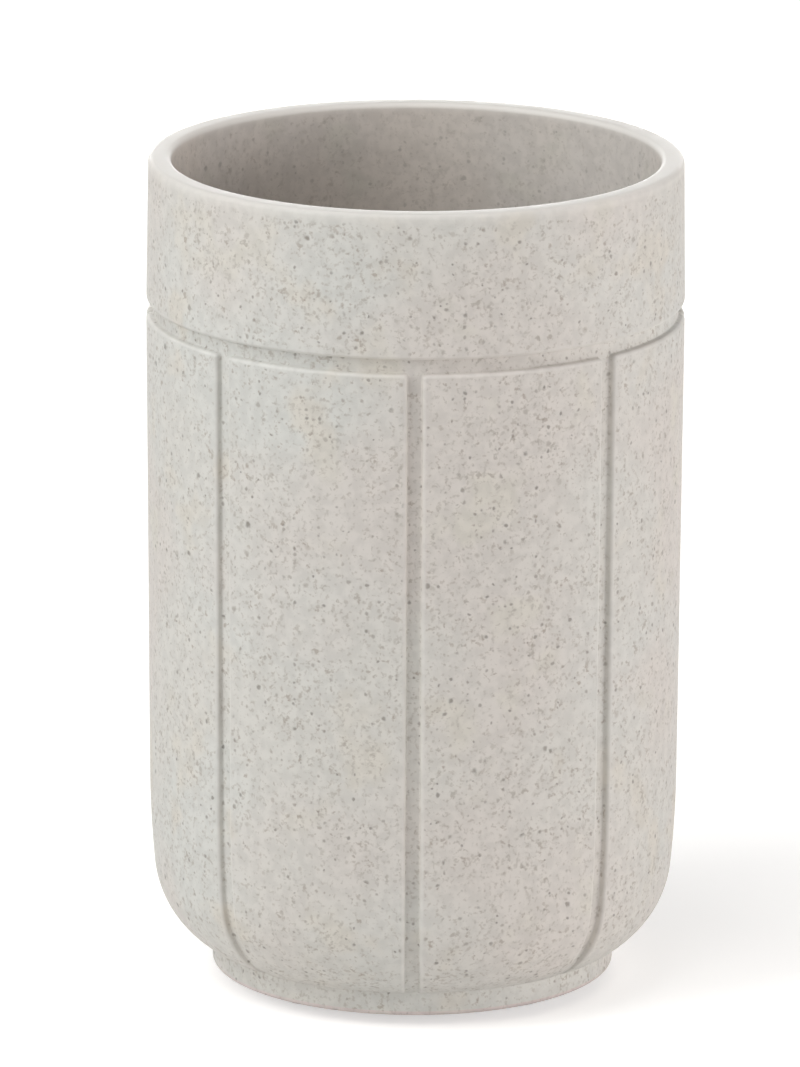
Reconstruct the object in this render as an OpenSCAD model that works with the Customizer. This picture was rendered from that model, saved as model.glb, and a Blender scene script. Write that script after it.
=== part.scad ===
// Bathroom tumbler: a cast cup with a smooth collar, eight raised panels and a low foot.
// Millimetres. The origin is where the cup's axis meets the surface that the tumbler stands on.
// One vertical groove faces the front, which is towards -Y.

/* [Casting] */
// Diameter over the panels, at their top edge
body_d = 73; // [70:0.5:80]
// Height from the foot's underside to the rim
cast_h = 113; // [100:0.5:125]
// Slope of the straight wall, which narrows downwards, in degrees
wall_slope = 0.34; // [0.1:0.02:1]
// Slope of the collar, which narrows upwards, in degrees
collar_slope = 1.1; // [0.2:0.1:2]

/* [Shoulder and foot] */
// Height of the drawn-in band between the straight wall and the shoulder
draw_in_h = 8.6; // [4:0.2:14]
// Slope of the drawn-in band, in degrees
draw_in_slope = 3.7; // [2:0.1:5]
// Slope at which the rounded shoulder meets the foot, in degrees
shoulder_end = 62.5; // [52:0.5:70]
// How far the panels' lower edges stand out over the foot
overhang = 0.6; // [0.2:0.1:0.8]
// Diameter of the foot
foot_d = 55; // [50:0.5:60]
// Height of the foot's side
foot_h = 3.5; // [2.5:0.1:6]
// Rounding of the foot's lower edge
foot_edge_r = 0.7; // [0.3:0.1:1.2]

/* [Grooves] */
// Number of vertical grooves, and so of panels
groove_count = 8; // [4:1:12]
// Width of the vertical grooves
groove_w = 2; // [1.4:0.1:3]
// Depth of the vertical grooves
groove_t = 0.9; // [0.7:0.05:1.3]
// Height of the panels' top edge above the foot's underside
ring_h = 91.4; // [75:0.2:95]
// Width of the ring groove between the panels and the collar
ring_w = 2; // [1.4:0.1:3]
// Depth of the ring groove
ring_t = 0.95; // [0.7:0.05:1.3]
// Rounding of the grooves' edges
arris_r = 0.4; // [0.2:0.05:0.6]

/* [Inside] */
// Wall thickness at the rim
rim_wall_t = 3.1; // [2.8:0.1:5]
// Wall thickness at the shoulder
shoulder_wall_t = 3.6; // [3:0.1:6]
// Thickness of the floor, over the foot
floor_t = 2.3; // [2:0.1:6]
// Rounding of the rim's outer edge
lip_outer_r = 0.7; // [0.4:0.1:1.4]
// Rounding of the rim's inner edge
lip_inner_r = 0.8; // [0.3:0.1:1.2]

/* [Anti-slip pads] */
// Diameter of a pad
pad_d = 10; // [8:0.5:12]
// Height of a pad
pad_h = 1.5; // [1:0.1:3]
// Rounding of a pad's lower edge
pad_edge_r = 0.4; // [0.2:0.1:0.6]
// Distance from a pad's edge to the foot's edge
pad_inset = 4; // [2:0.5:6]
// Thickness of the adhesive disc between a pad and the foot
film_t = 0.1; // [0.1:0.05:0.3]
// Distance from the adhesive disc's edge to the pad's edge
film_inset = 0.2; // [0.1:0.1:0.6]

/* [Hidden] */
$fn = 180;

// How far a cutter runs past the face that it opens
overrun = 1;
// How far inside an arc a straight side ends, so that the two cross and leave no sliver
tuck = 0.02;

// One groove faces the front, and the pads stand between the front and the sides
front_angle = -90;
pad_count = 4;
groove_step = 360 / groove_count;
pad_step = 360 / pad_count;

// Heights above the standing surface
foot_z = pad_h + film_t;
foot_top_z = foot_z + foot_h;
inner_floor_z = foot_top_z + floor_t;
foot_reach_z = foot_top_z + floor_t / 2;
ring_z = foot_z + ring_h;
collar_z = ring_z + ring_w;
rim_z = foot_z + cast_h;

// The shoulder's radius follows from the two diameters that the side joins
body_r = body_d / 2;
foot_r = foot_d / 2;
panel_end_r = foot_r + overhang;
wall_loss = (ring_z - foot_top_z - draw_in_h) * tan(wall_slope);
draw_in_loss = draw_in_h * tan(draw_in_slope);
turn_in_share = cos(draw_in_slope) - cos(shoulder_end);
turn_down_share = sin(shoulder_end) - sin(draw_in_slope);
shoulder_r = (body_r - wall_loss - draw_in_loss - panel_end_r)
    / (turn_in_share - turn_down_share * tan(wall_slope));
shoulder_centre = [
    panel_end_r - shoulder_r * cos(shoulder_end),
    foot_top_z + shoulder_r * sin(shoulder_end)
];

// Radius and height at which the shoulder begins, and at which the drawn-in band begins
shoulder_start = [
    panel_end_r + shoulder_r * turn_in_share,
    foot_top_z + shoulder_r * turn_down_share
];
draw_in_start = shoulder_start + [draw_in_loss, draw_in_h];

// The collar narrows to the rounding of the rim
lip_z = rim_z - lip_outer_r * (1 - sin(collar_slope));
lip_r = body_r - (lip_z - collar_z) * tan(collar_slope);
lip_centre = [lip_r - lip_outer_r * cos(collar_slope), rim_z - lip_outer_r];

// The inner corner keeps the wall's thickness round the shoulder
inner_rim_r = lip_r - rim_wall_t;
inner_foot_r = shoulder_start.x - shoulder_wall_t;
inner_corner_r = max(shoulder_r - shoulder_wall_t, lip_inner_r);
inner_centre = [inner_foot_r - inner_corner_r, inner_floor_z + inner_corner_r - tuck];

// Half of a disc-like slice through the cup's axis with a round corner, between two heights
module rounded_slice(centre, r, z_low, z_high) {
    translate([0, z_low])
        square([centre.x, z_high - z_low]);
    intersection() {
        translate([0, z_low])
            square([centre.x + r, z_high - z_low]);
        translate(centre)
            circle(r = r);
    }
}

// Half of the outer form, from the foot's top to the rim
module outer_half() {
    rounded_slice(shoulder_centre, shoulder_r, foot_top_z, shoulder_centre.y);
    polygon([
        [0, shoulder_start.y],
        shoulder_start - [tuck, 0],
        draw_in_start,
        [body_r, ring_z],
        [body_r, collar_z],
        [lip_r - tuck, lip_z],
        [0, lip_z]
    ]);
    rounded_slice(lip_centre, lip_outer_r, lip_centre.y, rim_z);
}

// Half of the inside, from its floor to above the rim
module inner_half() {
    wall_top_r = inner_rim_r + tuck;
    rounded_slice(inner_centre, inner_corner_r, inner_floor_z, inner_centre.y + inner_corner_r);
    polygon([
        [0, inner_centre.y],
        [inner_foot_r - tuck, inner_centre.y],
        [wall_top_r, rim_z],
        [wall_top_r, rim_z + overrun],
        [0, rim_z + overrun]
    ]);
    difference() {
        translate([0, rim_z - lip_inner_r])
            square([inner_rim_r + lip_inner_r, lip_inner_r + overrun]);
        translate([inner_rim_r + lip_inner_r, rim_z - lip_inner_r])
            circle(r = lip_inner_r);
    }
}

// Section of a groove cut into a face at x = 0, with its two edges rounded
module groove_section(width, depth) {
    translate([-depth, -width / 2])
        square([depth + overrun, width]);
    difference() {
        translate([-arris_r, -width / 2 - arris_r])
            square([arris_r + overrun, width + 2 * arris_r]);
        for (side = [-1, 1])
            translate([-arris_r, side * (width / 2 + arris_r)])
                circle(r = arris_r, $fn = 48);
    }
}

// A straight stretch of a vertical groove, which runs up the face from its start
module groove_run(length) {
    linear_extrude(length)
        groove_section(groove_w, groove_t);
}

// The turn of a vertical groove under the shoulder, down from its start
module groove_bend() {
    translate([-shoulder_r, 0, 0])
        rotate([-90, 0, 0])
            rotate_extrude(angle = 90 - draw_in_slope)
                translate([shoulder_r, 0])
                    groove_section(groove_w, groove_t);
}

// One vertical groove. Its two straight stretches meet in a mitre where the wall draws in
module vertical_groove() {
    kink = (draw_in_slope - wall_slope) / 2;
    wall_run = (ring_z - draw_in_start.y) / cos(wall_slope);
    draw_in_run = draw_in_h / cos(draw_in_slope);
    space = 2 * cast_h;
    translate([draw_in_start.x, 0, draw_in_start.y])
        rotate([0, wall_slope + kink, 0]) {
            difference() {
                rotate([0, -kink, 0])
                    translate([0, 0, -overrun])
                        groove_run(wall_run + 2 * overrun);
                translate([-space / 2, -space / 2, -space])
                    cube(space);
            }
            difference() {
                rotate([0, kink, 0])
                    translate([0, 0, -draw_in_run])
                        groove_run(draw_in_run + overrun);
                translate([-space / 2, -space / 2, 0])
                    cube(space);
            }
            rotate([0, kink, 0])
                translate([0, 0, -draw_in_run])
                    groove_bend();
        }
}

// The cup over its foot, with the ring groove and the vertical grooves cut in
module panelled_cup() {
    difference() {
        rotate_extrude()
            difference() {
                outer_half();
                inner_half();
                translate([body_r, ring_z + ring_w / 2])
                    groove_section(ring_w, ring_t);
            }
        for (i = [0 : groove_count - 1])
            rotate([0, 0, front_angle + i * groove_step])
                vertical_groove();
    }
}

// The foot, with its lower edge rounded. It reaches up into the cup, so the grooves end on its side
module foot() {
    edge_z = foot_z + foot_edge_r;
    rotate_extrude() {
        rounded_slice([foot_r - foot_edge_r, edge_z], foot_edge_r, foot_z, edge_z);
        translate([0, edge_z])
            square([foot_r, foot_reach_z - edge_z]);
    }
}

module tumbler_casting() {
    color([0.80, 0.78, 0.74]) {
        panelled_cup();
        foot();
    }
}

// Puts what it is given at the place of a pad under the foot
module at_pad(i) {
    rotate([0, 0, front_angle + (i + 0.5) * pad_step])
        translate([foot_r - pad_inset - pad_d / 2, 0, 0])
            children();
}

module bumper_pad(i) {
    color([0.85, 0.87, 0.86])
        at_pad(i)
            rotate_extrude($fn = 72) {
                rounded_slice([pad_d / 2 - pad_edge_r, pad_edge_r], pad_edge_r, 0, pad_edge_r);
                translate([0, pad_edge_r])
                    square([pad_d / 2, pad_h - pad_edge_r]);
            }
}

module adhesive_disc(i) {
    color([0.93, 0.93, 0.90])
        at_pad(i)
            translate([0, 0, pad_h])
                cylinder(d = pad_d - 2 * film_inset, h = film_t, $fn = 72);
}

tumbler_casting();
for (i = [0 : pad_count - 1]) {
    bumper_pad(i);
    adhesive_disc(i);
}
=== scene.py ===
"""A cast stone-effect bathroom tumbler on clear pads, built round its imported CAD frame."""

import math

import bmesh
import bpy
from bpy.props import FloatProperty, FloatVectorProperty, IntProperty, PointerProperty
from bpy.types import Operator, Panel, PropertyGroup
from mathutils import Matrix, Vector, noise


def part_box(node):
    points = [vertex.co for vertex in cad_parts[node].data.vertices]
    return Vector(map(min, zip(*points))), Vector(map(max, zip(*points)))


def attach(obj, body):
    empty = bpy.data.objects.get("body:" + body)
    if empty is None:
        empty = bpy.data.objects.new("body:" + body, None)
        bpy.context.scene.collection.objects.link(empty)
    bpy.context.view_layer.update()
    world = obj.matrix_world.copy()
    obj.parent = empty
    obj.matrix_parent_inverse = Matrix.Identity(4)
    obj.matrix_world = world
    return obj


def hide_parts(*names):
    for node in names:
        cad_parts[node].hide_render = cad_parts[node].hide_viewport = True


bl_info = {
    "name": "Bathroom tumbler",
    "version": (1, 0, 0),
    "blender": (4, 5, 0),
    "location": "3D View > Sidebar > Tumbler",
    "description": "Builds a cast stone-effect bathroom tumbler, its pads and a plain studio",
    "category": "Mesh",
}

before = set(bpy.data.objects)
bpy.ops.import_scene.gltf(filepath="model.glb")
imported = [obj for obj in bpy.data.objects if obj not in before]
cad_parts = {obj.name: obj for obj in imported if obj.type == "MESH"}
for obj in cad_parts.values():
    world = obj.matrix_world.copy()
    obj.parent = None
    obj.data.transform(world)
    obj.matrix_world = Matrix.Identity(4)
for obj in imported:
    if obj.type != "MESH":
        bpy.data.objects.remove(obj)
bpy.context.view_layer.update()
CASTING_LOW, CASTING_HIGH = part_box("tumbler_casting")
PAD_COUNT = 4

MM = 0.001
BODY = "root"
QUARTER = math.radians(90)
FRONT = -QUARTER
WHITE = (1.0, 1.0, 1.0)
BARE_SKIN_AND_HIGHLIGHT = "bare_skin"
NUMBER = "NodeSocketFloat"
VECTOR = "NodeSocketVector"
COLOR = "NodeSocketColor"

# Colours of the stone resin's group, and the settings that give them
STONE_COLORS = {
    "Base": "base", "Cool": "cool", "Pink": "pink", "Ochre": "ochre", "Skin": "skin",
    "Dark Fleck": "dark_fleck", "Brown Fleck": "brown_fleck", "Dust": "dust",
}
# Patches: colour, size in millimetres, levels where one begins and is full, shift in metres
PATCHES = (
    ("Cool", 30.0, 0.42, 0.62, (0.49, -0.25, 0.29)),
    ("Pink", 34.0, 0.42, 0.62, (-0.43, 0.04, -0.62)),
    ("Ochre", 9.0, 0.55, 0.72, (0.06, -0.05, -0.28)),
)
# Irregular flecks: size in millimetres, detail, levels where a fleck begins and is full, strength
DUST_LAYERS = (
    (0.6, 2.0, 0.53, 0.7, 0.46),
    (0.95, 3.0, 0.607, 0.7, 0.68),
)
# Grains: spacing in millimetres, least and most share kept, reach in millimetres, spread of the
# reach, softness and strength
GRAIN_LAYERS = (
    (0.8, 0.13, 0.27, 0.27, 0.5, 0.5, 0.74),
    (1.6, 0.09, 0.17, 0.42, 0.5, 0.45, 0.76),
)
# Bends that make the flecks' outlines uneven: size and how far they push, in millimetres
BENDS = ((1.6, 0.3), (0.5, 0.13))
# The noise that crowds flecks: size in millimetres, shift in metres and how far it moves their level
CROWD_SIZE = 6.0
CROWD_SHIFT = (0.49, -0.25, 0.29)
CROWD_LEVEL = 0.02
# Size of the body's clouds in millimetres, and what they do to its brightness and its roughness
CLOUD_SIZE = 1.7
CLOUD_VALUE = (0.948, 1.042)
CLOUD_ROUGHNESS = (0.52, 0.62)
# Sizes of the change from grey to brown flecks and of the fine grain, in millimetres
BROWN_SIZE = 2.2
FINE_GRAIN_SIZE = 0.35
# Strength of the flecks on an arris, and what is left of a grain's strength where it is brownest
FLECKS_ON_ARRIS = 0.1
BROWNEST_GRAIN = 0.45
# The rim and the arrises are paler: partly bare resin, partly a painted highlight
# How much of that pale colour shows on the rim, and what bareness adds to the roughness
SKIN_AND_HIGHLIGHT_SHOWN = 0.9
SKIN_ROUGHNESS = -0.08
# Height of the fine grain, where a full fleck is 1 deep, and the depth that 1 stands for
FINE_GRAIN_HEIGHT = 0.4
RELIEF_DEPTH = 0.02 * MM
# Order of the casting's materials
FACE_SLOT, INSIDE_SLOT, FOOT_SLOT = range(3)

# How bare of flecks and pale with painted highlight the arrises and the collar's upper end are; the rim is
# 1
BARE_ARRIS_AND_HIGHLIGHT = 0.4
BARE_LIP_AND_HIGHLIGHT = 0.45
# Where flecks begin to come back beside an arris, and where all are there, in arris radii
BARE_REACH = (0.6, 1.6)
# Size of the cast surface's waves, and the height over the foot at which they are full
WAVE_SIZE = 13 * MM
WAVE_RISE = 6 * MM
# Size of the arrises' small wobble, and the height over the shoulder at which it is full
WOBBLE_SIZE = 1.4 * MM
WOBBLE_RISE = 8 * MM

# How fine the meshes are: steps along each stretch of a section, and once round a round piece
ARRIS_STEPS = 7
FILLET_STEPS = 4
EDGE_STEPS = 3
PANEL_STEPS = 26
SHOULDER_STEPS = 24
DRAW_IN_STEPS = 8
WALL_STEPS = 18
COLLAR_STEPS = 10
LIP_STEPS = 8
INSIDE_STEPS = 16
PAD_EDGE_STEPS = 8
PAD_SHOULDER_STEPS = 4
FILM_EDGE_STEPS = 3
ROUND_STEPS = 96

# Stations beside an arris, in arris radii
BESIDE_ARRIS = (1.2, 1.5, 2.0, 2.8, 4.0)
# Rings of the meshes, as shares of the radius or of the height that they divide
UNDERSIDE_RINGS = (0.07, 0.2, 0.4, 0.6, 0.8, 0.93)
FOOT_SIDE_RINGS = (0.33, 0.66)
UNDER_RIM_RINGS = (0.01, 0.02, 0.03, 0.045)
INNER_FLOOR_RINGS = (0.8, 0.6, 0.4, 0.2, 0.07)
PAD_FACE_RINGS = (0.0, 0.1, 0.35, 0.6, 0.8, 0.93)
FLAT_RINGS = (0.0, 0.2, 0.6, 0.97)
# Most of the ledge over the foot that one blunted edge takes
LEDGE_SHARE = 0.4

# Half the floor's side, and the height of the point that every lamp faces, in metres
FLOOR_HALF = 3.0
LIT_HEIGHT = 0.06
# Lamps: name, settings of power and tint, turn from the front towards the right in degrees,
# and distance, height, width and length in metres
LAMPS = (
    ("Left lamp", "left_power", "left_tint", -61, 1.3, 0.72, 0.7, 1.0),
    ("Left side lamp", "left_side_power", "left_tint", -95, 1.3, 0.56, 0.7, 1.0),
    ("Right lamp", "right_power", "right_tint", 60, 1.3, 0.45, 0.7, 1.0),
    ("Right low lamp", "right_low_power", "right_tint", 83, 1.3, 0.12, 1.1, 0.5),
    ("Front lamp", "front_power", None, -8, 1.5, 0.16, 1.0, 0.6),
    ("Top lamp", "top_power", None, -43, 0.55, 1.34, 1.0, 1.0),
    ("Back lamp", "back_power", None, 180, 1.3, 0.12, 0.9, 0.4),
)


def length(name, text, value):
    """A length property, given in millimetres."""
    return FloatProperty(
        name=name, description=text, default=value * MM, min=0.0,
        unit="LENGTH", subtype="DISTANCE", precision=5,
    )


def angle(name, text, degrees):
    """An angle property."""
    return FloatProperty(
        name=name, description=text, default=math.radians(degrees),
        unit="ROTATION", subtype="ANGLE",
    )


def strength(name, text, value):
    """The strength of a light that has no power in watts."""
    return FloatProperty(name=name, description=text, default=value, min=0.0, max=4.0)


def power(name, text, value):
    """A lamp's power, in watts."""
    return FloatProperty(name=name, description=text, default=value, min=0.0, unit="POWER")


def tint(name, text, red, green, blue):
    """A colour property, given as it shows on a screen, from 0 to 255."""
    return FloatVectorProperty(
        name=name, description=text, subtype="COLOR", size=3, min=0.0, max=1.0,
        default=[screen_to_linear(c / 255) for c in (red, green, blue)],
    )


def screen_to_linear(value):
    """The linear value of one colour channel as a screen shows it."""
    if value <= 0.04045:
        return value / 12.92
    return ((value + 0.055) / 1.055) ** 2.4


class CastingSettings(PropertyGroup):
    """Sizes of the cast cup."""

    foot_radius: length("Foot radius", "Radius of the foot", 27.5)
    foot_height: length("Foot height", "Height of the foot's side", 3.5)
    foot_edge: length("Foot edge", "Rounding of the foot's lower edge", 0.7)
    overhang: length("Overhang", "How far the panels stand out over the foot", 0.6)
    shoulder_end: angle("Shoulder end", "Slope at which the shoulder meets the foot", 62.5)
    shoulder_start: angle("Shoulder start", "Slope at which the shoulder begins", 5.4)
    draw_in_radius: length("Draw-in radius", "Radius of the long curve above the shoulder", 150)
    wall_slope: angle("Wall slope", "Slope of the straight wall", 0.34)
    collar_slope: angle("Collar slope", "Slope of the collar", 0.85)
    ring_height: length("Ring height", "Height of the panels' top edge over the foot's base", 91.4)
    ring_width: length("Ring width", "Width of the ring groove", 2.0)
    ring_depth: length("Ring depth", "Depth of the ring groove", 0.95)
    groove_count: IntProperty(name="Grooves", description="Number of vertical grooves", default=8, min=3)
    groove_width: length("Groove width", "Width of a vertical groove", 2.0)
    groove_depth: length("Groove depth", "Depth of a vertical groove", 0.9)
    groove_end: length("Groove end", "Depth of a vertical groove where it meets the foot", 0.22)
    shallow: angle("Shallowing", "Slope of the shoulder from which the grooves grow shallower", 30.0)
    arris: length("Arris", "Rounding of the grooves' upper edges", 0.52)
    fillet: length("Fillet", "Rounding at the bottom of a groove", 0.2)
    draft: length("Draft", "How far a groove's side leans", 0.06)
    corner: length("Corner", "Rounding of the panels' upper corners", 0.6)
    blunt: length("Blunting", "Rounding of the edges over the foot", 0.32)
    waviness: length("Waviness", "How far the cast surface wanders", 0.015)
    lip_outer: length("Lip outside", "Rounding of the rim's outer edge", 0.8)
    lip_fade: length("Lip fade", "How far below the rim's rounding the flecks fade in", 1.4)
    lip_reach: length("Lip reach", "How far down the inside the bare rim fades out", 1.6)
    lip_inner: length("Lip inside", "Rounding of the rim's inner edge", 0.8)
    rim_wall: length("Rim wall", "Wall thickness at the rim", 3.1)
    shoulder_wall: length("Shoulder wall", "Wall thickness at the shoulder", 3.6)
    floor: length("Floor", "Thickness of the floor over the foot", 2.3)


class StoneSettings(PropertyGroup):
    """Colours and flecks of the cast resin."""

    base: tint("Base", "Main colour between the flecks", 207, 204, 198)
    cool: tint("Cool", "Cooler patches", 206, 205, 200)
    pink: tint("Pink", "Pinker patches", 208, 202, 196)
    ochre: tint("Ochre", "Yellower patches", 208, 203, 194)
    # Pale colour of the rim and arrises: partly bare resin, partly a painted highlight
    skin: tint("Skin", "Bare resin on the rim", 231, 227, 221)
    inside: tint("Inside", "Main colour inside", 215, 207, 199)
    foot: tint("Foot", "Main colour of the foot", 211, 199, 196)
    dark_fleck: tint("Dark fleck", "Darkest flecks", 122, 117, 110)
    brown_fleck: tint("Brown fleck", "Browner flecks", 160, 148, 136)
    dust: tint("Dust", "Finest flecks", 168, 161, 152)


class PadSettings(PropertyGroup):
    """Sizes and colour of a clear pad and of the film over it."""

    edge: length("Pad edge", "Rounding of a pad's lower edge", 0.4)
    shoulder: length("Pad shoulder", "Rounding of a pad's upper edge", 0.12)
    hollow: length("Hollow", "Depth of the shallow hollow under a pad", 0.03)
    clear: tint("Pad", "Colour of the clear pad", 236, 240, 238)
    film: tint("Film", "Colour of the adhesive film", 232, 231, 224)


class StudioSettings(PropertyGroup):
    """Camera, lamps and floor."""

    distance: length("Distance", "Distance from the camera to the cup's middle", 1355.26)
    elevation: angle("Elevation", "Camera's height above the horizon", 14.9563)
    turn_left: angle("Turn", "How far the camera turns left of the cup's axis", 0.0832)
    turn_up: angle("Lift", "How far the camera looks above the cup's middle", 0.2139)
    roll: angle("Roll", "How far the camera leans", 0.3007)
    lens: FloatProperty(
        name="Lens", description="Focal length, for a sensor 36 mm along the longer side",
        default=335.3, min=1.0, unit="CAMERA",
    )
    aim_height: length("Aim height", "Height that the camera orbits", 56.6)
    left_power: power("Left lamp", "Power of the lamp on the left", 9.0)
    left_side_power: power("Left side lamp", "Power of the lamp straight to the left", 1.8)
    right_power: power("Right lamp", "Power of the lamp on the right", 3.3)
    right_low_power: power("Right low lamp", "Power of the long low lamp to the right", 10.8)
    front_power: power("Front lamp", "Power of the lamp in front", 2.7)
    top_power: power("Top lamp", "Power of the lamp overhead", 9.8)
    back_power: power("Back lamp", "Power of the low lamp behind the cup", 8.0)
    left_tint: tint("Left tint", "Colour of the light from the left", 252, 255, 255)
    right_tint: tint("Right tint", "Colour of the light from the right", 255, 252, 251)
    room: strength("Room light", "Strength of the light from all round", 0.03)
    floor_glow: strength("Floor lift", "How much lighter the floor looks to the camera", 0.5)
    floor_color: tint("Floor", "Colour of the floor", 243, 241, 239)


def mix(a, b, t):
    """The value a share t of the way from a to b."""
    return a + (b - a) * t


def spaced(start, end, steps):
    """Values in even steps from start to end, with both."""
    return [mix(start, end, i / steps) for i in range(steps + 1)]


def smooth_step(low, high, value):
    """0 below low, 1 above high and an easy curve between."""
    t = min(max((value - low) / (high - low), 0.0), 1.0)
    return t * t * (3 - 2 * t)


def slope_normal(slope):
    """The outward normal of a face that leans inwards below by that slope, as (out, up)."""
    return Vector((math.cos(slope), -math.sin(slope)))


def flat_rings(radius, height, shares):
    """Points across a flat round face, each at a share of its radius."""
    return [Vector((radius * k, height)) for k in shares]


def arc(centre, radius, start, end, steps):
    """Points along an arc, as (out, up)."""
    return [centre + radius * Vector((math.cos(t), math.sin(t))) for t in spaced(start, end, steps)]


class Section:
    """The casting's section: radius and height of each part of its outline, in metres."""

    def __init__(self, size):
        self.size = size
        self.base = CASTING_LOW.z
        self.rim = CASTING_HIGH.z
        self.body_radius = (CASTING_HIGH.x - CASTING_LOW.x) / 2 - 2 * size.waviness
        self.foot_top = self.base + size.foot_height
        self.ring = self.base + size.ring_height
        self.collar = self.ring + size.ring_width
        self.panel_end = size.foot_radius + size.overhang
        self.shoulder_radius = self.solve_shoulder()
        self.centre = Vector((
            self.panel_end - self.shoulder_radius * math.cos(size.shoulder_end),
            self.foot_top + self.shoulder_radius * math.sin(size.shoulder_end),
        ))
        self.draw_in = self.shoulder_point(size.shoulder_start)[0].y
        self.lip = self.rim - size.lip_outer * (1 - math.sin(size.collar_slope))

    def solve_shoulder(self):
        """Radius of the shoulder that joins the panels' lower edge to the wall."""
        size = self.size
        wall = math.tan(size.wall_slope)
        in_share = math.cos(size.shoulder_start) - math.cos(size.shoulder_end)
        down_share = math.sin(size.shoulder_end) - math.sin(size.shoulder_start)
        curve_in = size.draw_in_radius * (math.cos(size.wall_slope) - math.cos(size.shoulder_start))
        curve_up = size.draw_in_radius * (math.sin(size.shoulder_start) - math.sin(size.wall_slope))
        height = self.ring - self.foot_top - curve_up
        reach = self.body_radius - self.panel_end - curve_in - height * wall
        return reach / (in_share - down_share * wall)

    def shoulder_point(self, slope):
        """Point and outward normal on the shoulder, where the face has that slope."""
        normal = slope_normal(slope)
        return self.centre + self.shoulder_radius * normal, normal

    def draw_in_points(self):
        """Points and normals up the long curve between the shoulder and the wall."""
        size = self.size
        start, normal = self.shoulder_point(size.shoulder_start)
        centre = start - size.draw_in_radius * normal
        for slope in spaced(size.shoulder_start, size.wall_slope, DRAW_IN_STEPS)[1:]:
            normal = slope_normal(slope)
            yield centre + size.draw_in_radius * normal, normal

    def wall_point(self, height):
        """Point and normal on the straight wall, across the ring groove or on the collar."""
        size = self.size
        if height <= self.ring:
            slope = size.wall_slope
            radius = self.body_radius - (self.ring - height) * math.tan(slope)
            return Vector((radius, height)), slope_normal(slope)
        if height <= self.collar:
            return Vector((self.body_radius, height)), Vector((1.0, 0.0))
        slope = size.collar_slope
        radius = self.body_radius - (height - self.collar) * math.tan(slope)
        return Vector((radius, height)), slope_normal(-slope)


def edge_stations(size, half_width):
    """Distances from a groove's nominal side, from its middle to the plain face."""
    stations = spaced(-half_width, -size.draft - size.fillet, EDGE_STEPS)[:-1]
    stations += [-size.draft - size.fillet * (1 - math.sin(t)) for t in spaced(0.0, QUARTER, FILLET_STEPS)]
    stations += [size.arris * (1 - math.cos(t)) for t in spaced(0.0, QUARTER, ARRIS_STEPS)]
    return stations + [size.arris * k for k in BESIDE_ARRIS]


def groove_depth_at(size, side, depth):
    """Depth of the surface at a distance from a groove's nominal side, positive on the panel."""
    wall_foot = -size.draft
    floor_edge = wall_foot - size.fillet
    if side <= floor_edge:
        return depth
    if side <= wall_foot:
        across = side - floor_edge
        return depth - size.fillet + math.sqrt(max(size.fillet ** 2 - across ** 2, 0.0))
    if side <= 0:
        return mix(depth - size.fillet, size.arris, (side - wall_foot) / size.draft)
    if side < size.arris:
        left = size.arris - side
        return size.arris - math.sqrt(max(size.arris ** 2 - left ** 2, 0.0))
    return 0.0


def raised_distance(size, beside, below, above):
    """Distance into the nearest raised region: a panel with round upper corners, or the collar."""
    over = Vector((size.corner - beside, size.corner - below))
    outside = Vector((max(over.x, 0.0), max(over.y, 0.0))).length
    panel = size.corner - outside - min(max(over.x, over.y), 0.0)
    return max(panel, above)


class Column:
    """One line of the mesh up the cup. Near a groove it keeps its distance from the groove's middle."""

    def __init__(self, groove_angle, offset, turn=0.0, step=0.0):
        self.angle = groove_angle
        self.offset = offset
        self.turn = turn
        self.step = step

    def beside(self, size):
        """Distance from the groove's nominal side, positive on the panel."""
        return abs(self.offset) - size.groove_width / 2

    def place(self, radius, height, normal, depth):
        """Point of the surface, sunk below it by depth."""
        if self.turn:
            edge = math.asin(self.offset / radius)
            around = self.angle + edge + self.turn * (self.step - 2 * edge)
            reach = radius - depth * normal.x
            return Vector((reach * math.cos(around), reach * math.sin(around), height - depth * normal.y))
        out = Vector((math.cos(self.angle), math.sin(self.angle), 0.0))
        across = Vector((-out.y, out.x, 0.0))
        reach = math.sqrt(radius ** 2 - self.offset ** 2) - depth * normal.x
        return out * reach + across * self.offset + Vector((0, 0, height - depth * normal.y))

    def spoke(self, radius, height, reference):
        """Point at a radius and height, on the line that the column has at the reference radius."""
        whole = self.place(reference, height, Vector((1.0, 0.0)), 0.0)
        return Vector((whole.x * radius / reference, whole.y * radius / reference, height))


def casting_columns(size):
    """Every column of the casting's mesh, once round."""
    stations = edge_stations(size, size.groove_width / 2)
    offsets = [size.groove_width / 2 + q for q in stations]
    zone = [-x for x in reversed(offsets)][:-1] + offsets
    step = math.tau / size.groove_count
    columns = []
    for i in range(size.groove_count):
        groove = FRONT + i * step
        columns += [Column(groove, x) for x in zone]
        columns += [Column(groove, offsets[-1], j / PANEL_STEPS, step) for j in range(1, PANEL_STEPS)]
    return columns


def face_rows(size, section):
    """Points of the section up the outer face over the shoulder, each with its normal."""
    rows = list(section.draw_in_points())
    stations = edge_stations(size, size.ring_width / 2)
    ring = [section.ring - q for q in reversed(stations)] + [section.collar + q for q in stations[1:]]
    fade = section.lip - size.lip_fade
    heights = spaced(rows[-1][0].y, ring[0], WALL_STEPS)[1:-1] + ring
    heights += spaced(ring[-1], fade, COLLAR_STEPS)[1:] + spaced(fade, section.lip, LIP_STEPS)[1:]
    return rows + [section.wall_point(h) for h in heights]


def curve_through(start, corner, end, steps):
    """Points along a short curve that leaves start and reaches end as if round a corner."""
    shares = spaced(0.0, 1.0, steps)
    return [start * (1 - t) ** 2 + corner * 2 * t * (1 - t) + end * t ** 2 for t in shares]


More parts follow.
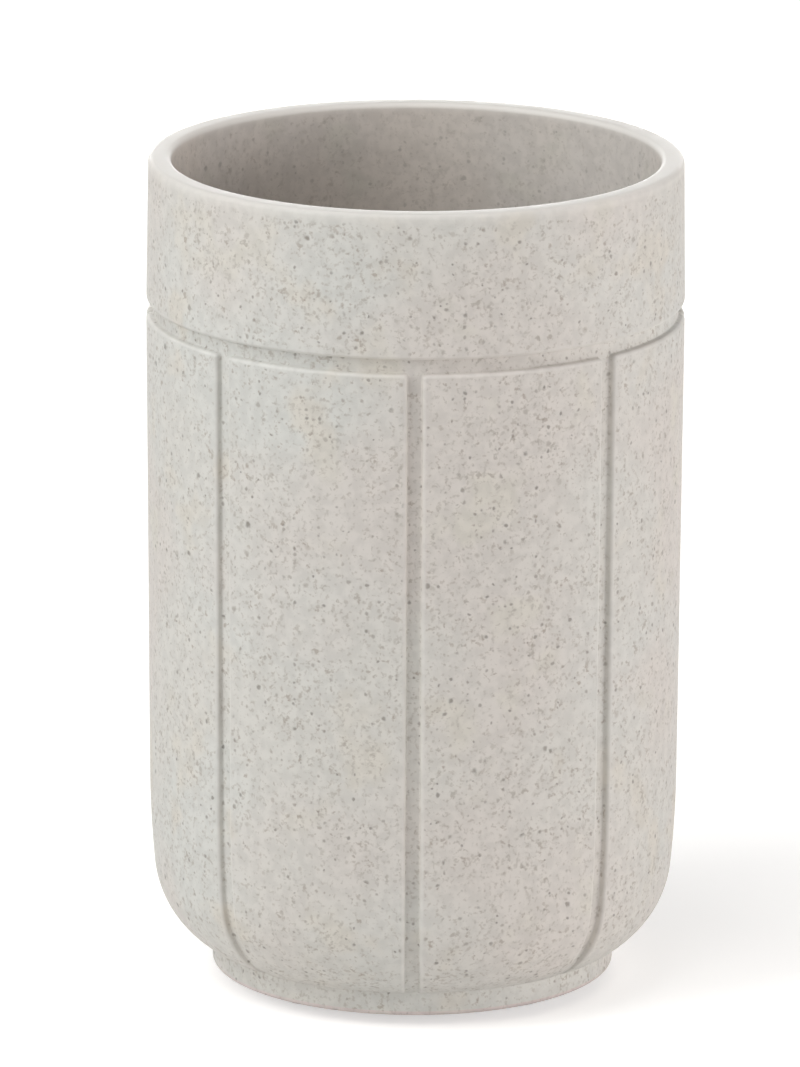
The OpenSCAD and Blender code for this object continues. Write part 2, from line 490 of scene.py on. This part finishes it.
def step_over_foot(size, section, column):
    """Points of one column from the foot's side to the shoulder's start, going up.

    A groove grows shallower under the shoulder, so its floor runs out on the foot's upper edge.
    """
    flat = Vector((1.0, 0.0))
    depth = groove_depth_at(size, column.beside(size), size.groove_depth)
    radius = section.shoulder_radius
    least = depth * size.groove_end / size.groove_depth
    end_slope = math.asin(radius * math.sin(size.shoulder_end) / (radius - least))
    stop_slope = end_slope - size.blunt / radius

    def on_shoulder(slope):
        point, normal = section.shoulder_point(slope)
        whole = column.place(point.x, point.y, normal, 0.0)
        sunk = mix(depth, least, smooth_step(size.shallow, end_slope, slope))
        return column.place(point.x, point.y, normal, sunk + wander(size, section, whole))

    foot_corner = column.place(size.foot_radius, section.foot_top, flat, 0.0)
    foot_side = foot_corner - Vector((0, 0, size.blunt))
    panel_corner = on_shoulder(end_slope)
    ledge = panel_corner - foot_corner
    hold = min(LEDGE_SHARE, size.blunt / max(ledge.length, 1e-9))
    points = curve_through(foot_side, foot_corner, foot_corner + ledge * hold, EDGE_STEPS)
    points.append(foot_corner + ledge / 2)
    points += curve_through(panel_corner - ledge * hold, panel_corner, on_shoulder(stop_slope), EDGE_STEPS)
    slopes = spaced(stop_slope, size.shoulder_start, SHOULDER_STEPS)[1:]
    return points + [on_shoulder(slope) for slope in slopes]


def lip_and_inside(size, section):
    """Radius and height of each point from the collar's top over the rim to the inner floor."""
    lip_point, _ = section.wall_point(section.lip)
    lip_middle = lip_point.x - size.lip_outer * math.cos(size.collar_slope)
    lip_centre = Vector((lip_middle, section.rim - size.lip_outer))
    points = arc(lip_centre, size.lip_outer, size.collar_slope, QUARTER, LIP_STEPS)[1:]
    inner_rim = lip_point.x - size.rim_wall
    inner_centre = Vector((inner_rim + size.lip_inner, section.rim - size.lip_inner))
    points.append((points[-1] + Vector((inner_centre.x, section.rim))) / 2)
    points += arc(inner_centre, size.lip_inner, QUARTER, 2 * QUARTER, LIP_STEPS)
    shoulder, _ = section.shoulder_point(size.shoulder_start)
    corner = section.shoulder_radius - size.shoulder_wall
    inner_floor = section.foot_top + size.floor
    corner_centre = Vector((shoulder.x - size.shoulder_wall - corner, inner_floor + corner))
    wall_top, wall_foot = points[-1], Vector((corner_centre.x + corner, corner_centre.y))
    down = (*UNDER_RIM_RINGS, *spaced(0.0, 1.0, INSIDE_STEPS)[1:-1])
    points += [wall_top.lerp(wall_foot, k) for k in down]
    points += arc(corner_centre, corner, 0.0, -QUARTER, INSIDE_STEPS)
    return points + flat_rings(points[-1].x, inner_floor, INNER_FLOOR_RINGS)


def underside_and_foot(size, section):
    """Radius and height of each point from the middle of the underside to the foot's side."""
    flat = size.foot_radius - size.foot_edge
    centre = Vector((flat, section.base + size.foot_edge))
    points = flat_rings(flat, section.base, UNDERSIDE_RINGS)
    points += arc(centre, size.foot_edge, -QUARTER, 0.0, LIP_STEPS)
    side_top = section.foot_top - size.blunt
    return points + [Vector((size.foot_radius, mix(centre.y, side_top, k))) for k in FOOT_SIDE_RINGS]


def pad_profile(pads, low, high):
    """Radius and height of each point of a pad, from its hollow to its upper face."""
    radius = (high.x - low.x) / 2
    flat = radius - pads.edge
    top = Vector((radius - pads.shoulder, high.z - pads.shoulder))
    points = [Vector((flat * k, low.z + pads.hollow * (1 - k ** 4))) for k in PAD_FACE_RINGS]
    points += arc(Vector((flat, low.z + pads.edge)), pads.edge, -QUARTER, 0.0, PAD_EDGE_STEPS)
    points.append(Vector((radius, (low.z + high.z) / 2)))
    points += arc(top, pads.shoulder, 0.0, QUARTER, PAD_SHOULDER_STEPS)
    return points + flat_rings(top.x, high.z, reversed(FLAT_RINGS))


def film_profile(low, high):
    """Radius and height of each point of an adhesive film, whose edge is rounded."""
    edge = (high.z - low.z) / 4
    flat = (high.x - low.x) / 2 - edge
    points = flat_rings(flat, low.z, FLAT_RINGS)
    points += arc(Vector((flat, low.z + edge)), edge, -QUARTER, 0.0, FILM_EDGE_STEPS)
    points += arc(Vector((flat, high.z - edge)), edge, 0.0, QUARTER, FILM_EDGE_STEPS)
    return points + flat_rings(flat, high.z, reversed(FLAT_RINGS))


def bare_skin(size, side):
    """How bare of flecks and pale with painted highlight the surface is, at a distance from a groove's
    nominal side.
    """
    begin, end = BARE_REACH
    fade = 1 - smooth_step(size.arris * begin, size.arris * end, side)
    return BARE_ARRIS_AND_HIGHLIGHT * smooth_step(-size.draft, size.draft, side) * fade


def wander(size, section, point):
    """How far the cast surface sinks at a point. It fades out towards the foot."""
    fade = smooth_step(section.foot_top, section.foot_top + WAVE_RISE, point.z)
    return size.waviness * fade * noise.noise(point / WAVE_SIZE)


def face_point(size, section, column, point, normal):
    """One point of the grooved face, with how bare of flecks it is."""
    below, above = section.ring - point.y, point.y - section.collar
    whole = column.place(point.x, point.y, normal, 0.0)
    side = raised_distance(size, column.beside(size), below, above)
    rough = smooth_step(section.draw_in, section.draw_in + WOBBLE_RISE, point.y)
    side += rough * size.draft / 2 * noise.noise(whole / WOBBLE_SIZE)
    deepest = mix(size.ring_depth, size.groove_depth, smooth_step(0.0, size.corner, below))
    depth = groove_depth_at(size, side, deepest) + wander(size, section, whole)
    # The collar's top and the arrises are bare of flecks and paler, partly as a painted highlight
    lip_bare_and_highlight = BARE_LIP_AND_HIGHLIGHT * smooth_step(section.lip - size.lip_fade, section.lip, point.y)
    return column.place(point.x, point.y, normal, depth), max(bare_skin(size, side), lip_bare_and_highlight)


def casting_grid(size, section):
    """Rows of points from the underside to the inner floor, with the share of bare resin and painted
    highlight at each.
    """
    columns = casting_columns(size)
    grid, bare = [], []

    def add(points, skin=0.0):
        grid.append(points)
        bare.append([skin] * len(points) if isinstance(skin, float) else skin)

    for p in underside_and_foot(size, section):
        add([c.spoke(p.x, p.y, size.foot_radius) for c in columns])
    steps = [step_over_foot(size, section, c) for c in columns]
    arris_bare_and_highlight = [bare_skin(size, c.beside(size)) for c in columns]
    for row, points in enumerate(zip(*steps)):
        fade = smooth_step(0, 2 * EDGE_STEPS, row)
        add(points, [s * fade for s in arris_bare_and_highlight])
    for point, normal in face_rows(size, section):
        made = [face_point(size, section, c, point, normal) for c in columns]
        add([m[0] for m in made], [m[1] for m in made])
    inside = lip_and_inside(size, section)
    lip_radius = inside[0].x
    for i, p in enumerate(inside):
        # The rim is bare of flecks and pale, partly as a painted highlight
        rim_bare_and_highlight = mix(BARE_LIP_AND_HIGHLIGHT, 1.0, smooth_step(0, LIP_STEPS, i))
        fade = 1 - smooth_step(0.0, size.lip_reach, section.rim - p.y) if i > LIP_STEPS else 1.0
        add([c.spoke(p.x, p.y, lip_radius) for c in columns], rim_bare_and_highlight * fade)
    return grid, bare


def lathe(name, rows, close_bottom, close_top):
    """A closed mesh from rings of points, each end gathered to a point."""
    mesh = bpy.data.meshes.new(name)
    bm = bmesh.new()
    rings = [[bm.verts.new(p) for p in row] for row in rows]
    count = len(rings[0])
    bottom, top = bm.verts.new(close_bottom), bm.verts.new(close_top)
    for i in range(count):
        bm.faces.new((bottom, rings[0][(i + 1) % count], rings[0][i]))
    for low, high in zip(rings, rings[1:]):
        for i in range(count):
            j = (i + 1) % count
            bm.faces.new((low[i], low[j], high[j], high[i]))
    for i in range(count):
        bm.faces.new((top, rings[-1][i], rings[-1][(i + 1) % count]))
    for face in bm.faces:
        face.smooth = True
    bm.to_mesh(mesh)
    bm.free()
    piece = bpy.data.objects.new(name, mesh)
    bpy.context.scene.collection.objects.link(piece)
    return piece


def round_piece(name, low, high, profile, material):
    """A piece turned about the upright axis of its box. Its profile begins and ends on the axis."""
    centre = (low + high) / 2
    turns = [math.tau * i / ROUND_STEPS for i in range(ROUND_STEPS)]
    rows = [
        [Vector((centre.x + p.x * math.cos(t), centre.y + p.x * math.sin(t), p.y)) for t in turns]
        for p in profile
    ]
    piece = lathe(name, rows[1:-1], rows[0][0], rows[-1][0])
    piece.data.materials.append(material)
    return piece


def store_bare_skin_and_highlight(mesh, bare):
    """Keeps the share of bare resin and painted highlight at each vertex, where the material reads it."""
    layer = mesh.attributes.new(BARE_SKIN_AND_HIGHLIGHT, "FLOAT", "POINT")
    values = [value for row in bare for value in row]
    values += [0.0] * (len(mesh.vertices) - len(values))
    layer.data.foreach_set("value", values)


def give_bands(mesh, count, bands):
    """Gives each band of rows its material slot. A band is (slot, number of rows)."""
    slots = [slot for slot, rows in bands for _ in range(rows * count)]
    slots += [bands[-1][0]] * (len(mesh.polygons) - len(slots))
    mesh.polygons.foreach_set("material_index", slots)


def add_node(tree, kind, inputs=None, **settings):
    """A shader node. Each input is either a value or the socket that feeds it."""
    node = tree.nodes.new(kind)
    for name, value in settings.items():
        setattr(node, name, value)
    for name, value in (inputs or {}).items():
        if isinstance(value, bpy.types.NodeSocket):
            tree.links.new(value, node.inputs[name])
        else:
            node.inputs[name].default_value = value
    return node


def calculate(tree, operation, first, second):
    """The output of a Math node."""
    return add_node(tree, "ShaderNodeMath", {0: first, 1: second}, operation=operation).outputs[0]


def multiply(tree, product, *factors):
    """The product of two or more values."""
    for factor in factors:
        product = calculate(tree, "MULTIPLY", product, factor)
    return product


def blend_colors(tree, share, first, second):
    """The output of a Mix node for colours, whose colours are its inputs 6 and 7."""
    return add_node(tree, "ShaderNodeMix", {0: share, 6: first, 7: second}, data_type="RGBA").outputs[2]


def spread_range(tree, value, low, high, to_low=0.0, to_high=1.0):
    """Carries a value smoothly from one range to another."""
    node = add_node(tree, "ShaderNodeMapRange", {
        "Value": value, "From Min": low, "From Max": high, "To Min": to_low, "To Max": to_high,
    }, interpolation_type="SMOOTHSTEP")
    return node.outputs["Result"]


def between(tree, share, low, high):
    """Low where the share is 0 and high where it is 1."""
    return spread_range(tree, share, 0.0, 1.0, low, high)


def opaque(color, brightness=1.0):
    """A colour for a socket, made darker or lighter."""
    return (*[min(c * brightness, 1.0) for c in color], 1.0)


def lay_out(tree, across=-240, down=-210):
    """Sets each node one column left of what it feeds."""
    depth = {node: 0 for node in tree.nodes}
    for _ in range(len(tree.nodes)):
        for link in tree.links:
            depth[link.from_node] = max(depth[link.from_node], depth[link.to_node] + 1)
    used = {}
    for node, column in depth.items():
        node.location = (across * column, down * used.get(column, 0))
        used[column] = used.get(column, 0) + 1


def new_group(name, inputs, outputs):
    """A shader node group and the sockets that its inputs give. Each label comes with its kind."""
    tree = bpy.data.node_groups.new(name, "ShaderNodeTree")
    for direction, sockets in (("INPUT", inputs), ("OUTPUT", outputs)):
        for label, kind in sockets.items():
            tree.interface.new_socket(label, in_out=direction, socket_type=kind)
    return tree, tree.nodes.new("NodeGroupInput").outputs


def new_tree(data):
    """Turns on the nodes of a material or a world, and empties its tree."""
    data.use_nodes = True
    data.node_tree.nodes.clear()
    return data, data.node_tree


def close_tree(tree, kind, sockets):
    """Joins sockets to an output node and lays out the whole tree."""
    add_node(tree, kind, sockets)
    lay_out(tree)
    return tree


def object_place(tree):
    """The object's own coordinates, which the noises follow."""
    return add_node(tree, "ShaderNodeTexCoord").outputs["Object"]


def shift_vector(tree, vector, offset):
    """The sum of two vectors. A shift keeps one noise from lying over another."""
    return add_node(tree, "ShaderNodeVectorMath", {0: vector, 1: offset}, operation="ADD").outputs[0]


def bend_vector(tree, vector, size, far):
    """Pushes coordinates about by a noise. Its size and how far it pushes are in millimetres."""
    pushed = add_node(tree, "ShaderNodeTexNoise", {"Vector": vector, "Scale": 1 / (size * MM)})
    centred = shift_vector(tree, pushed.outputs["Color"], (-0.5, -0.5, -0.5))
    scaled = add_node(tree, "ShaderNodeVectorMath", {0: centred, "Scale": 2 * far * MM}, operation="SCALE")
    return shift_vector(tree, vector, scaled.outputs[0])


def soft_noise(tree, vector, size, low=0.3, high=0.7, detail=2.0):
    """A smooth noise of a size in millimetres, spread from 0 to 1 between two of its levels."""
    inputs = {"Vector": vector, "Scale": 1 / (size * MM), "Detail": detail}
    return spread_range(tree, add_node(tree, "ShaderNodeTexNoise", inputs).outputs["Fac"], low, high)


def fleck_layer_group():
    """Grains scattered through the body, where its surface cuts them."""
    numbers = dict.fromkeys(("Spacing", "Share", "Reach", "Spread", "Softness"), NUMBER)
    tree, given = new_group("Fleck layer", {"Vector": VECTOR, **numbers}, {"Mask": NUMBER, "Tone": NUMBER})
    scale = calculate(tree, "DIVIDE", 1.0, given["Spacing"])
    cells = add_node(tree, "ShaderNodeTexVoronoi", {"Vector": given["Vector"], "Scale": scale})
    random = add_node(tree, "ShaderNodeSeparateColor", {"Color": cells.outputs["Color"]})
    kept = calculate(tree, "LESS_THAN", random.outputs["Red"], given["Share"])
    loss = multiply(tree, random.outputs["Green"], given["Spread"])
    reach = multiply(tree, given["Reach"], calculate(tree, "SUBTRACT", 1.0, loss))
    soft = multiply(tree, reach, given["Softness"])
    inner = calculate(tree, "SUBTRACT", reach, soft)
    outer = calculate(tree, "ADD", reach, soft)
    shape = spread_range(tree, cells.outputs["Distance"], inner, outer, 1.0, 0.0)
    return close_tree(tree, "NodeGroupOutput", {
        "Mask": multiply(tree, shape, kept), "Tone": random.outputs["Blue"],
    })


def dust_group():
    """Irregular flecks, denser where the body is crowded."""
    numbers = dict.fromkeys(("Crowd", "Size", "Detail", "Begin", "Full"), NUMBER)
    tree, given = new_group("Dust layer", {"Vector": VECTOR, **numbers}, {"Mask": NUMBER})
    field = add_node(tree, "ShaderNodeTexNoise", {
        "Vector": given["Vector"], "Scale": calculate(tree, "DIVIDE", 1.0, given["Size"]),
        "Detail": given["Detail"], "Roughness": 0.55,
    })
    crowding = between(tree, given["Crowd"], -CROWD_LEVEL, CROWD_LEVEL)
    level = calculate(tree, "ADD", field.outputs["Fac"], crowding)
    mask = spread_range(tree, level, given["Begin"], given["Full"])
    return close_tree(tree, "NodeGroupOutput", {"Mask": mask})


def stone_resin_group(grains, dust):
    """Cast stone resin: a mottled body with scattered flecks, bare where it is moulded to an edge and
    paler there, partly as a painted highlight.
    """
    tree, given = new_group(
        "Stone resin",
        {**dict.fromkeys(STONE_COLORS, COLOR), "Bare": NUMBER, "Flecks": NUMBER},
        {"Color": COLOR, "Roughness": NUMBER, "Height": NUMBER},
    )
    place = object_place(tree)
    bent = place
    for size, far in BENDS:
        bent = bend_vector(tree, bent, size, far)

    color = given["Base"]
    for label, size, begin, full, shift in PATCHES:
        patch = soft_noise(tree, shift_vector(tree, place, shift), size, begin, full)
        color = blend_colors(tree, patch, color, given[label])
    cloud = soft_noise(tree, bent, CLOUD_SIZE, detail=3.0)
    shaded = add_node(tree, "ShaderNodeHueSaturation", {
        "Color": color, "Value": between(tree, cloud, *CLOUD_VALUE),
    })
    color = shaded.outputs["Color"]

    crowd = soft_noise(tree, shift_vector(tree, place, CROWD_SHIFT), CROWD_SIZE)
    uncovered = spread_range(tree, given["Bare"], 0.0, BARE_ARRIS_AND_HIGHLIGHT, 1.0, FLECKS_ON_ARRIS)
    showing = multiply(tree, given["Flecks"], uncovered)
    browner = soft_noise(tree, place, BROWN_SIZE, low=0.4, high=0.65)
    dusty = blend_colors(tree, browner, given["Dust"], given["Brown Fleck"])
    for size, detail, begin, full, show in DUST_LAYERS:
        layer = add_node(tree, "ShaderNodeGroup", {
            "Vector": bent, "Crowd": crowd, "Size": size * MM,
            "Detail": detail, "Begin": begin, "Full": full,
        }, node_tree=dust)
        color = blend_colors(tree, multiply(tree, layer.outputs["Mask"], show, showing), color, dusty)
    pits = 0.0
    for spacing, share_low, share_high, reach, spread, softness, show in GRAIN_LAYERS:
        layer = add_node(tree, "ShaderNodeGroup", {
            "Vector": bent, "Spacing": spacing * MM, "Share": between(tree, crowd, share_low, share_high),
            "Reach": reach / spacing, "Spread": spread, "Softness": softness,
        }, node_tree=grains)
        tone = layer.outputs["Tone"]
        fleck = blend_colors(tree, tone, given["Dark Fleck"], given["Brown Fleck"])
        faded = between(tree, tone, show, show * BROWNEST_GRAIN)
        shown = multiply(tree, layer.outputs["Mask"], faded, showing)
        color = blend_colors(tree, shown, color, fleck)
        pits = calculate(tree, "ADD", shown, pits)

    # Pale colour on the rim and arrises, partly bare resin and partly a painted highlight
    skin = spread_range(tree, given["Bare"], BARE_ARRIS_AND_HIGHLIGHT / 2, 1.0, 0.0, SKIN_AND_HIGHLIGHT_SHOWN)
    worn = multiply(tree, given["Bare"], SKIN_ROUGHNESS)
    fine = multiply(tree, soft_noise(tree, place, FINE_GRAIN_SIZE), FINE_GRAIN_HEIGHT)
    return close_tree(tree, "NodeGroupOutput", {
        "Color": blend_colors(tree, skin, color, given["Skin"]),
        "Roughness": calculate(tree, "ADD", between(tree, cloud, *CLOUD_ROUGHNESS), worn),
        "Height": calculate(tree, "SUBTRACT", fine, pits),
    })


def moulded_material(material, color, roughness, height, relief, **finish):
    """Gives a material one shader with a relief. Each further value is named for its socket."""
    tree = material.node_tree
    bump = add_node(tree, "ShaderNodeBump", {
        "Height": height, "Strength": relief, "Distance": RELIEF_DEPTH,
    })
    shader = add_node(tree, "ShaderNodeBsdfPrincipled", {
        "Base Color": color, "Roughness": roughness, "Normal": bump.outputs["Normal"], **finish,
    })
    close_tree(tree, "ShaderNodeOutputMaterial", {"Surface": shader.outputs["BSDF"]})
    return material


def stone_material(name, group, stone, flecks, relief, main=None):
    """The cast resin's finish, with more or fewer flecks. A main colour takes the place of the base."""
    material, tree = new_tree(bpy.data.materials.new(name))
    bare = add_node(tree, "ShaderNodeAttribute", attribute_name=BARE_SKIN_AND_HIGHLIGHT, attribute_type="GEOMETRY")
    given = {"Bare": bare.outputs["Fac"], "Flecks": flecks}
    resin = add_node(tree, "ShaderNodeGroup", given, node_tree=group)
    for label, setting in STONE_COLORS.items():
        resin.inputs[label].default_value = opaque(getattr(stone, setting))
    if main is not None:
        resin.inputs["Base"].default_value = resin.inputs["Cool"].default_value = opaque(main)
    color, roughness, height = resin.outputs
    return moulded_material(material, color, roughness, height, relief, **{"Specular IOR Level": 0.42})


def pad_material(pads):
    """Clear soft plastic, faintly cloudy."""
    material, tree = new_tree(bpy.data.materials.new("Clear pad"))
    place = object_place(tree)
    haze = soft_noise(tree, place, size=2.5)
    color = blend_colors(tree, haze, opaque(pads.clear), opaque(pads.clear, brightness=0.93))
    roughness = between(tree, haze, low=0.16, high=0.27)
    fine = soft_noise(tree, place, size=0.5)
    finish = {"Transmission Weight": 0.8, "IOR": 1.49}
    return moulded_material(material, color, roughness, fine, relief=0.2, **finish)


def film_material(pads):
    """The adhesive film over a pad, with fine bubbles."""
    material, tree = new_tree(bpy.data.materials.new("Adhesive film"))
    place = object_place(tree)
    cloud = soft_noise(tree, place, size=1.2, low=0.35, high=0.65)
    cells = add_node(tree, "ShaderNodeTexVoronoi", {"Vector": place, "Scale": 1 / (0.5 * MM)})
    bubble = spread_range(tree, cells.outputs["Distance"], 0.16, 0.24, to_low=1.0, to_high=0.0)
    pale = opaque(pads.film, brightness=1.08)
    color = blend_colors(tree, bubble, blend_colors(tree, cloud, opaque(pads.film), pale), pale)
    roughness = between(tree, cloud, low=0.35, high=0.5)
    return moulded_material(material, color, roughness, bubble, relief=0.3)


def seen_plainly(tree):
    """1 for what the camera sees, itself or in a glossy or clear surface, and 0 for other light."""
    path = add_node(tree, "ShaderNodeLightPath")
    seen = calculate(tree, "MAXIMUM", path.outputs["Is Camera Ray"], path.outputs["Is Glossy Ray"])
    return calculate(tree, "MAXIMUM", seen, path.outputs["Is Transmission Ray"])


def floor_material(studio):
    """A pale floor. It looks white where no shadow falls, and can be looked through from below."""
    material, tree = new_tree(bpy.data.materials.new("Studio floor"))
    cloud = soft_noise(tree, object_place(tree), size=60.0)
    pale = studio.floor_color
    color = blend_colors(tree, cloud, opaque(pale), opaque(pale, brightness=0.985))
    glow = blend_colors(tree, seen_plainly(tree), opaque(WHITE, 0.0), (*[studio.floor_glow] * 3, 1.0))
    shader = add_node(tree, "ShaderNodeBsdfPrincipled", {
        "Base Color": color, "Roughness": 0.9, "Specular IOR Level": 0.1,
        "Emission Color": glow, "Emission Strength": 1.0,
    })
    through = add_node(tree, "ShaderNodeBsdfTransparent")
    side = add_node(tree, "ShaderNodeNewGeometry")
    mixed = add_node(tree, "ShaderNodeMixShader", {
        0: side.outputs["Backfacing"], 1: shader.outputs["BSDF"], 2: through.outputs["BSDF"],
    })
    close_tree(tree, "ShaderNodeOutputMaterial", {"Surface": mixed.outputs["Shader"]})
    return material


def place_camera(studio):
    """The camera, at the photograph's viewing angle."""
    height = studio.aim_height + studio.distance * math.sin(studio.elevation)
    location = Vector((0.0, -studio.distance * math.cos(studio.elevation), height))
    aim = Vector((0.0, 0.0, studio.aim_height)) - location
    turn = aim.to_track_quat("-Z", "Y").to_matrix()
    turn = turn @ Matrix.Rotation(studio.turn_left, 3, "Y") @ Matrix.Rotation(studio.turn_up, 3, "X")
    turn = turn @ Matrix.Rotation(studio.roll, 3, "Z")
    data = bpy.data.cameras.new("Camera")
    data.lens = studio.lens
    data.clip_start = 0.05
    data.clip_end = 20
    camera = bpy.data.objects.new("Camera", data)
    camera.matrix_world = Matrix.Translation(location) @ turn.to_4x4()
    bpy.context.scene.collection.objects.link(camera)
    bpy.context.scene.camera = camera


def place_lamp(name, watts, color, turn, distance, height, width, tall):
    """A soft lamp that faces the cup, turned from the front towards the right by degrees."""
    data = bpy.data.lights.new(name, "AREA")
    data.shape = "RECTANGLE"
    data.size = width
    data.size_y = tall
    data.energy = watts
    data.color = color
    lamp = bpy.data.objects.new(name, data)
    around = math.radians(turn)
    lamp.location = (distance * math.sin(around), -distance * math.cos(around), height)
    lamp.rotation_mode = "QUATERNION"
    lamp.rotation_quaternion = (Vector((0, 0, LIT_HEIGHT)) - lamp.location).to_track_quat("-Z", "Y")
    bpy.context.scene.collection.objects.link(lamp)


def light_world(studio):
    """Even light from all round, behind which the camera sees white."""
    world, tree = new_tree(bpy.data.worlds.new("Studio"))
    room, white = (
        add_node(tree, "ShaderNodeBackground", {"Color": opaque(WHITE), "Strength": level})
        for level in (studio.room, 1.0)
    )
    mixed = add_node(tree, "ShaderNodeMixShader", {
        0: seen_plainly(tree), 1: room.outputs["Background"], 2: white.outputs["Background"],
    })
    close_tree(tree, "ShaderNodeOutputWorld", {"Surface": mixed.outputs["Shader"]})
    bpy.context.scene.world = world


class TUMBLER_OT_casting(Operator):
    """Builds the cast cup with its panels, grooves, collar and foot"""

    bl_idname = "tumbler.casting"
    bl_label = "Cast cup"

    def execute(self, context):
        size = context.scene.tumbler_casting
        stone = context.scene.tumbler_stone
        section = Section(size)
        rows, bare = casting_grid(size, section)
        base, inner = rows[0][0].z, rows[-1][0].z
        piece = lathe("cast_cup", rows, Vector((0, 0, base)), Vector((0, 0, inner)))
        store_bare_skin_and_highlight(piece.data, bare)
        group = stone_resin_group(fleck_layer_group(), dust_group())
        for finish in (
            stone_material("Stone face", group, stone, flecks=1.0, relief=0.5),
            stone_material("Stone inside", group, stone, flecks=0.5, relief=0.35, main=stone.inside),
            stone_material("Stone foot", group, stone, flecks=0.7, relief=0.4, main=stone.foot),
        ):
            piece.data.materials.append(finish)
        below = len(underside_and_foot(size, section)) - len(FOOT_SIDE_RINGS)
        within = len(lip_and_inside(size, section)) - LIP_STEPS
        outside = len(rows) - below - within
        bands = ((FOOT_SLOT, below), (FACE_SLOT, outside), (INSIDE_SLOT, within))
        give_bands(piece.data, len(rows[0]), bands)
        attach(piece, BODY)
        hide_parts("tumbler_casting")
        return {"FINISHED"}


class TUMBLER_OT_pads(Operator):
    """Builds the clear pads under the foot"""

    bl_idname = "tumbler.pads"
    bl_label = "Clear pads"

    def execute(self, context):
        pads = context.scene.tumbler_pads
        material = pad_material(pads)
        for number in range(1, PAD_COUNT + 1):
            low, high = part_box(f"bumper_pad_{number}")
            profile = pad_profile(pads, low, high)
            piece = round_piece(f"clear_pad_{number}", low, high, profile, material)
            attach(piece, BODY)
            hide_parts(f"bumper_pad_{number}")
        return {"FINISHED"}


class TUMBLER_OT_films(Operator):
    """Builds the adhesive films between the pads and the foot"""

    bl_idname = "tumbler.films"
    bl_label = "Adhesive films"

    def execute(self, context):
        material = film_material(context.scene.tumbler_pads)
        for number in range(1, PAD_COUNT + 1):
            low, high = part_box(f"adhesive_disc_{number}")
            profile = film_profile(low, high)
            piece = round_piece(f"pad_film_{number}", low, high, profile, material)
            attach(piece, BODY)
            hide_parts(f"adhesive_disc_{number}")
        return {"FINISHED"}


class TUMBLER_OT_stage(Operator):
    """Sets up the floor, the lamps, the room's light and the camera"""

    bl_idname = "tumbler.stage"
    bl_label = "Studio"

    def execute(self, context):
        studio = context.scene.tumbler_studio
        mesh = bpy.data.meshes.new("studio_floor")
        corners = [(x * FLOOR_HALF, y * FLOOR_HALF, 0) for x, y in ((-1, -1), (1, -1), (1, 1), (-1, 1))]
        mesh.from_pydata(corners, [], [(0, 1, 2, 3)])
        floor = bpy.data.objects.new("studio_floor", mesh)
        context.scene.collection.objects.link(floor)
        mesh.materials.append(floor_material(studio))
        for name, power_setting, tint_setting, *placing in LAMPS:
            color = getattr(studio, tint_setting) if tint_setting else WHITE
            place_lamp(name, getattr(studio, power_setting), color, *placing)
        light_world(studio)
        place_camera(studio)
        context.scene.view_settings.view_transform = "Standard"
        return {"FINISHED"}


class TUMBLER_PT_build(Panel):
    """Lists what the add-on builds and its settings"""

    bl_idname = "TUMBLER_PT_build"
    bl_label = "Bathroom tumbler"
    bl_space_type = "VIEW_3D"
    bl_region_type = "UI"
    bl_category = "Tumbler"

    def draw(self, context):
        layout = self.layout
        for operator in OPERATORS:
            layout.operator(operator.bl_idname)
        for name, _ in SETTINGS:
            settings = getattr(context.scene, name)
            box = layout.box()
            for key in settings.__annotations__:
                box.prop(settings, key)


SETTINGS = (
    ("tumbler_casting", CastingSettings),
    ("tumbler_stone", StoneSettings),
    ("tumbler_pads", PadSettings),
    ("tumbler_studio", StudioSettings),
)
OPERATORS = (TUMBLER_OT_casting, TUMBLER_OT_pads, TUMBLER_OT_films, TUMBLER_OT_stage)


def register():
    """Registers the settings, the operators and the panel."""
    for name, settings in SETTINGS:
        bpy.utils.register_class(settings)
        setattr(bpy.types.Scene, name, PointerProperty(type=settings))
    for operator in OPERATORS:
        bpy.utils.register_class(operator)
    bpy.utils.register_class(TUMBLER_PT_build)


def unregister():
    """Takes out what register put in."""
    bpy.utils.unregister_class(TUMBLER_PT_build)
    for operator in reversed(OPERATORS):
        bpy.utils.unregister_class(operator)
    for name, settings in reversed(SETTINGS):
        delattr(bpy.types.Scene, name)
        bpy.utils.unregister_class(settings)


def main():
    """Builds the tumbler and its studio."""
    register()
    bpy.ops.tumbler.casting()
    bpy.ops.tumbler.pads()
    bpy.ops.tumbler.films()
    bpy.ops.tumbler.stage()
    bpy.context.view_layer.update()


if __name__ == "__main__":
    main()
